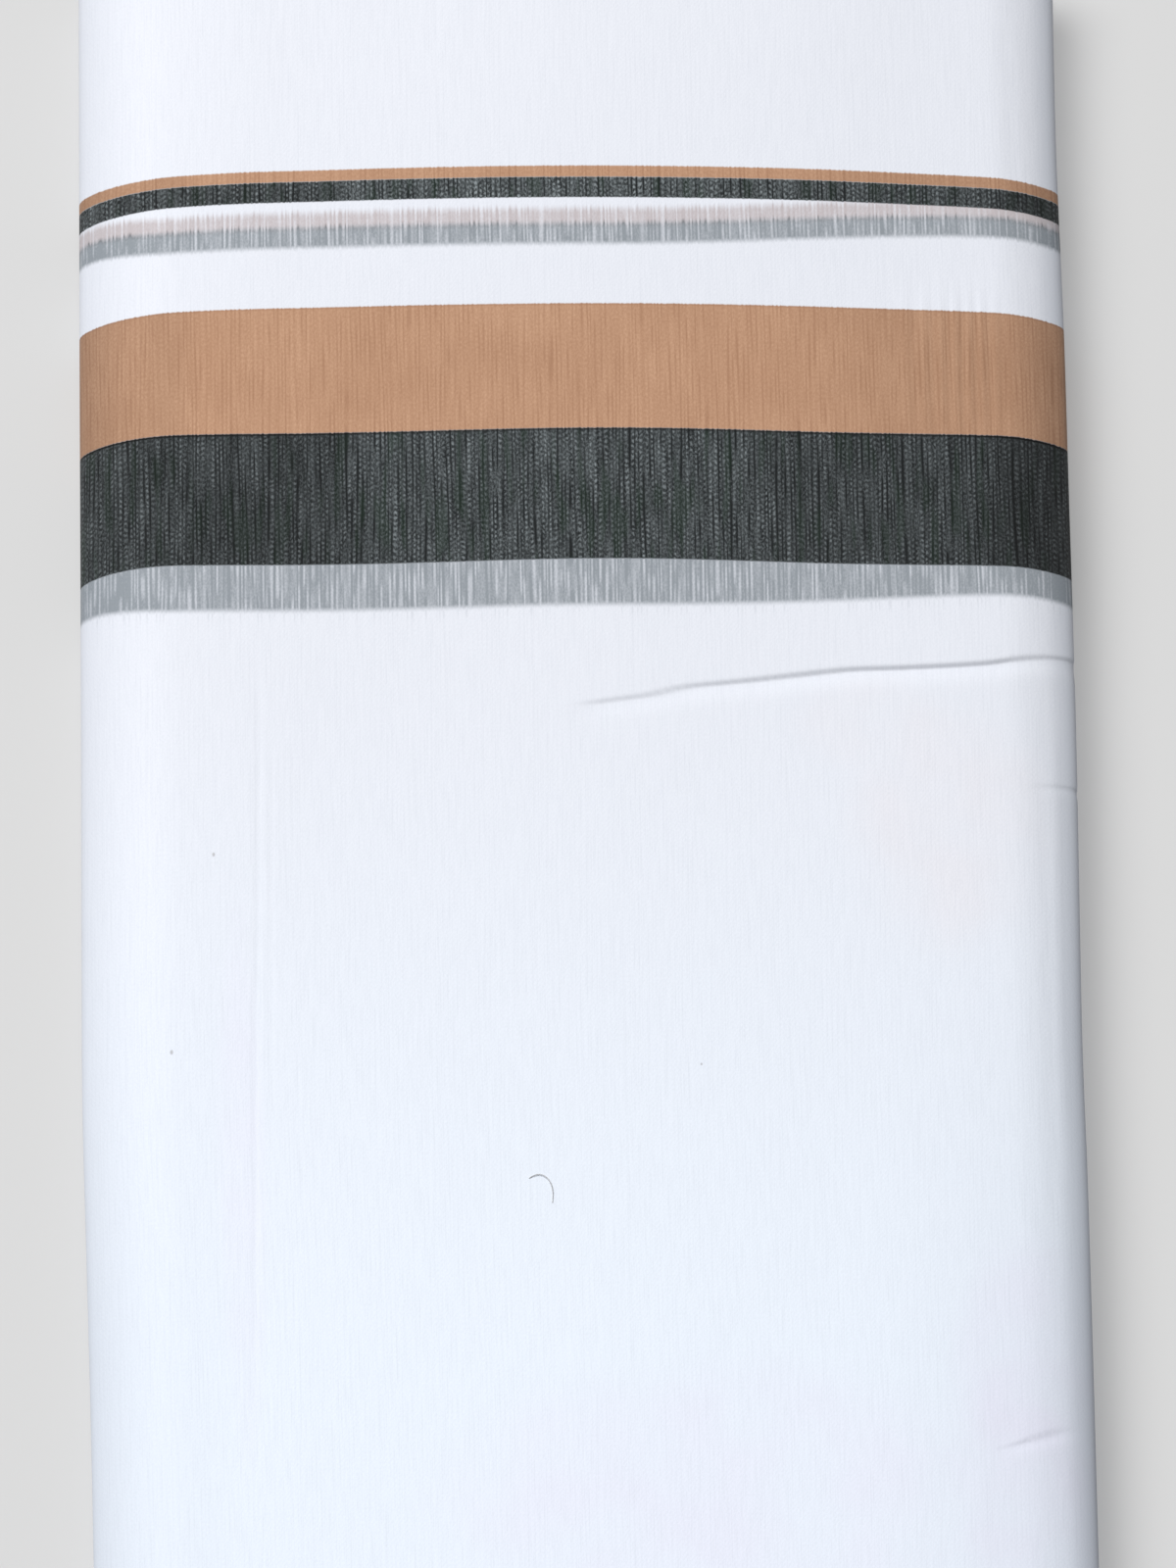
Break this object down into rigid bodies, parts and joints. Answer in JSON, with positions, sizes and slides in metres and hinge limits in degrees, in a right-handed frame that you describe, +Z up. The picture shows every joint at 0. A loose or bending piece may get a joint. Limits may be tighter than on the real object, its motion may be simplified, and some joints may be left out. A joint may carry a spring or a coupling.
{
  "type": "folded dhoti cloth",
  "caption": "Plain woven cotton loincloth with striped woven borders, folded to a flat pressed stack that rests on its underside.",
  "frame": {"origin": "centre of the stack's plan, at the height of the surface that it rests on", "axes": "+X across the stack to the side of the two half stacks, +Y along it towards the woven edges and the bands, +Z up from the face it rests on"},
  "size_m": [0.247, 0.635, 0.0312],
  "materials": {
    "cotton_face": "matt plain woven cotton, white, with tan and charcoal bands across it near the woven edge",
    "cotton_layers": "the same cotton at its stacked edges, folds and cut ends"
  },
  "bodies": {
    "root": {"outer_wrap": "cotton_face", "hidden_layers": "cotton_layers", "inner_fold": "cotton_layers", "cut_end_lower": "cotton_layers", "cut_end_upper": "cotton_layers"}
  },
  "joints": []
}
